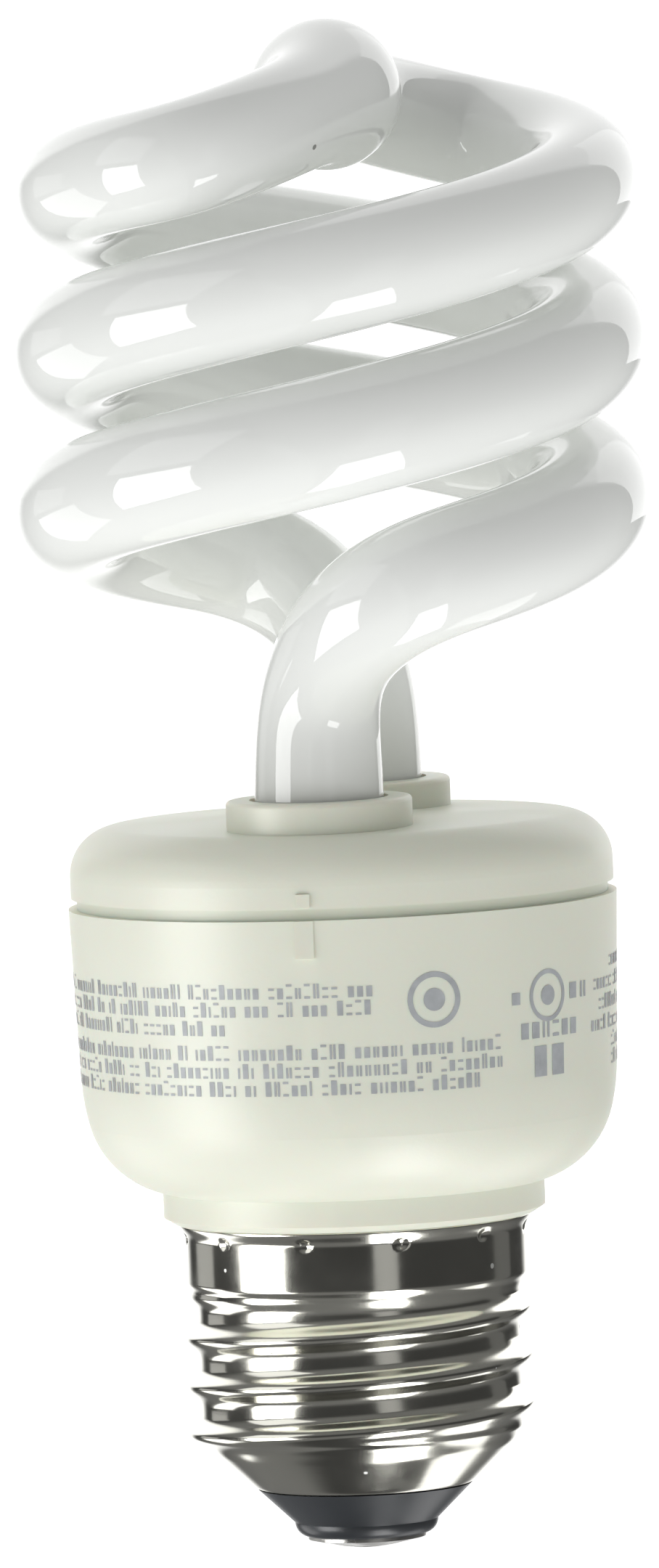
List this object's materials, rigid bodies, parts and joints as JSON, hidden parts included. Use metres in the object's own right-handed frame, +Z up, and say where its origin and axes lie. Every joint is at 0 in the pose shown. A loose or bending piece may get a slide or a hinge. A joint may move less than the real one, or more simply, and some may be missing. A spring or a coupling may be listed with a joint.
{
  "type": "spiral energy saving bulb",
  "caption": "Spiral energy saving bulb: a coiled glass tube on a round plastic ballast housing with a metal screw cap.",
  "frame": {"origin": "the middle of the centre contact's underside, on the screw cap's axis", "axes": "+Z up the lamp's axis from the screw cap to the coil; -Y is the front that the picture shows"},
  "size_m": [0.0483, 0.048, 0.1156],
  "materials": {
    "glass_tube": "clear gloss glass over a matt off-white phosphor coat",
    "cement": "matt ceramic cement",
    "cover_plastic": "satin warm white moulded plastic",
    "housing_plastic": "satin warm white moulded plastic",
    "plated_shell": "bright nickel plate",
    "base_glass": "glossy blue-black glass insulator",
    "contact_metal": "dull tin plate",
    "solder": "satin solder",
    "capacitor_sleeve": "dark shrink sleeve",
    "ferrite": "dark grey ferrite",
    "bobbin_plastic": "white nylon",
    "winding": "enamelled copper winding",
    "toroid_coating": "green coating on ferrite",
    "winding_wire": "enamelled copper wire",
    "transistor_case": "black moulded case, tinned leads",
    "film_red": "red-brown dipped coating",
    "film_green": "green dipped coating",
    "choke_sleeve": "black sleeve",
    "diode_case": "black moulded case",
    "resistor_coating": "tan coating",
    "trigger_glass": "blue glass body",
    "fuse_coating": "grey-green flameproof coating",
    "tinned_wire": "tinned wire",
    "post_metal": "tinned square posts",
    "board_laminate": "brown phenolic laminate"
  },
  "bodies": {
    "root": {"spiral_tube": "glass_tube", "tube_cement": "cement", "tube_cover": "cover_plastic", "ballast_housing": "housing_plastic", "screw_shell": "plated_shell", "base_insulator": "base_glass", "centre_contact": "contact_metal", "contact_solder": "solder", "electrolytic_capacitor": "capacitor_sleeve", "inductor_core": "ferrite", "inductor_bobbin": "bobbin_plastic", "inductor_winding": "winding", "toroid_core": "toroid_coating", "toroid_windings": "winding_wire", "low_transistor": "transistor_case", "high_transistor": "transistor_case", "resonant_capacitor": "film_red", "coupling_capacitor": "film_green", "filter_choke": "choke_sleeve", "rectifier_diodes": "diode_case", "resistors": "resistor_coating", "trigger_diode": "trigger_glass", "fuse_resistor": "fuse_coating", "live_lead": "tinned_wire", "neutral_lead": "tinned_wire", "wire_posts": "post_metal", "filament_leads": "tinned_wire", "circuit_board": "board_laminate"}
  },
  "joints": []
}
